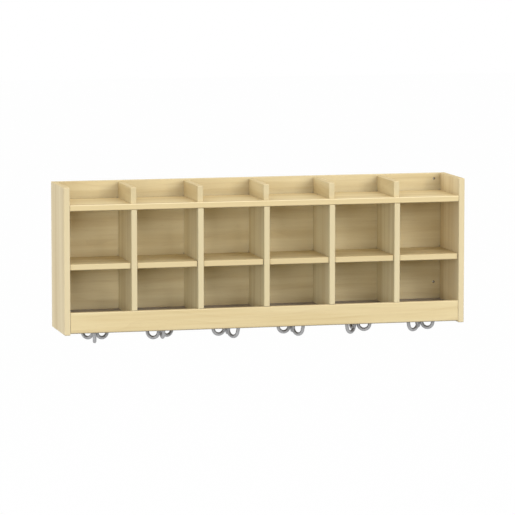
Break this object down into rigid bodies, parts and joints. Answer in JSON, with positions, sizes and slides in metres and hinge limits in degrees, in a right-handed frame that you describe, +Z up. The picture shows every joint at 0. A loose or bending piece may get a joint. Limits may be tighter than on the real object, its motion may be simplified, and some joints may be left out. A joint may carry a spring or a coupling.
{
  "type": "wall-hung coat locker",
  "caption": "Long wall-hung coat locker in pale maple-finished board: an open tray above two rows of open cubbies, a lipped front rail and swivelling triple coat hooks below.",
  "frame": {"origin": "the middle of the four wall screw holes, on the back face that meets the wall", "axes": "+X to the right along the case as seen from the front, +Y into the wall, +Z up"},
  "size_m": [1.219, 0.203, 0.47],
  "materials": {
    "maple_board": "pale maple face with a clear satin lacquer, eased edges",
    "hook_steel": "dull zinc-plated steel",
    "plain_steel": "turned steel",
    "beech_dowel": "bare beech",
    "screw_zinc": "bright zinc plate"
  },
  "bodies": {
    "case": {"left_end_panel": "maple_board", "right_end_panel": "maple_board", "back_panel": "maple_board", "top_shelf": "maple_board", "bottom_panel": "maple_board", "front_rail": "maple_board", "tray_divider_1": "maple_board", "tray_divider_2": "maple_board", "tray_divider_3": "maple_board", "tray_divider_4": "maple_board", "tray_divider_5": "maple_board", "cubby_divider_1": "maple_board", "cubby_divider_2": "maple_board", "cubby_divider_3": "maple_board", "cubby_divider_4": "maple_board", "cubby_divider_5": "maple_board", "middle_shelf_1": "maple_board", "middle_shelf_2": "maple_board", "middle_shelf_3": "maple_board", "middle_shelf_4": "maple_board", "middle_shelf_5": "maple_board", "middle_shelf_6": "maple_board", "hook_base_1": "hook_steel", "hook_base_2": "hook_steel", "hook_base_3": "hook_steel", "hook_base_4": "hook_steel", "hook_base_5": "hook_steel", "hook_base_6": "hook_steel", "rail_dowels": "beech_dowel", "back_screws": "screw_zinc", "hook_screws": "screw_zinc"},
    "hook_1": {"triple_hook_1": "hook_steel", "hook_collar_1": "plain_steel"},
    "hook_2": {"triple_hook_2": "hook_steel", "hook_collar_2": "plain_steel"},
    "hook_3": {"triple_hook_3": "hook_steel", "hook_collar_3": "plain_steel"},
    "hook_4": {"triple_hook_4": "hook_steel", "hook_collar_4": "plain_steel"},
    "hook_5": {"triple_hook_5": "hook_steel", "hook_collar_5": "plain_steel"},
    "hook_6": {"triple_hook_6": "hook_steel", "hook_collar_6": "plain_steel"}
  },
  "joints": [
    {"name": "hook_1_swivel", "type": "hinge", "parent": "case", "child": "hook_1", "pos_m": [-0.50062, -0.102, -0.2263], "axis": [0, 0, 1], "continuous": true},
    {"name": "hook_2_swivel", "type": "hinge", "parent": "case", "child": "hook_2", "pos_m": [-0.30038, -0.102, -0.2263], "axis": [0, 0, 1], "continuous": true},
    {"name": "hook_3_swivel", "type": "hinge", "parent": "case", "child": "hook_3", "pos_m": [-0.10013, -0.102, -0.2263], "axis": [0, 0, 1], "continuous": true},
    {"name": "hook_4_swivel", "type": "hinge", "parent": "case", "child": "hook_4", "pos_m": [0.10013, -0.102, -0.2263], "axis": [0, 0, 1], "continuous": true},
    {"name": "hook_5_swivel", "type": "hinge", "parent": "case", "child": "hook_5", "pos_m": [0.30038, -0.102, -0.2263], "axis": [0, 0, 1], "continuous": true},
    {"name": "hook_6_swivel", "type": "hinge", "parent": "case", "child": "hook_6", "pos_m": [0.50062, -0.102, -0.2263], "axis": [0, 0, 1], "continuous": true}
  ]
}
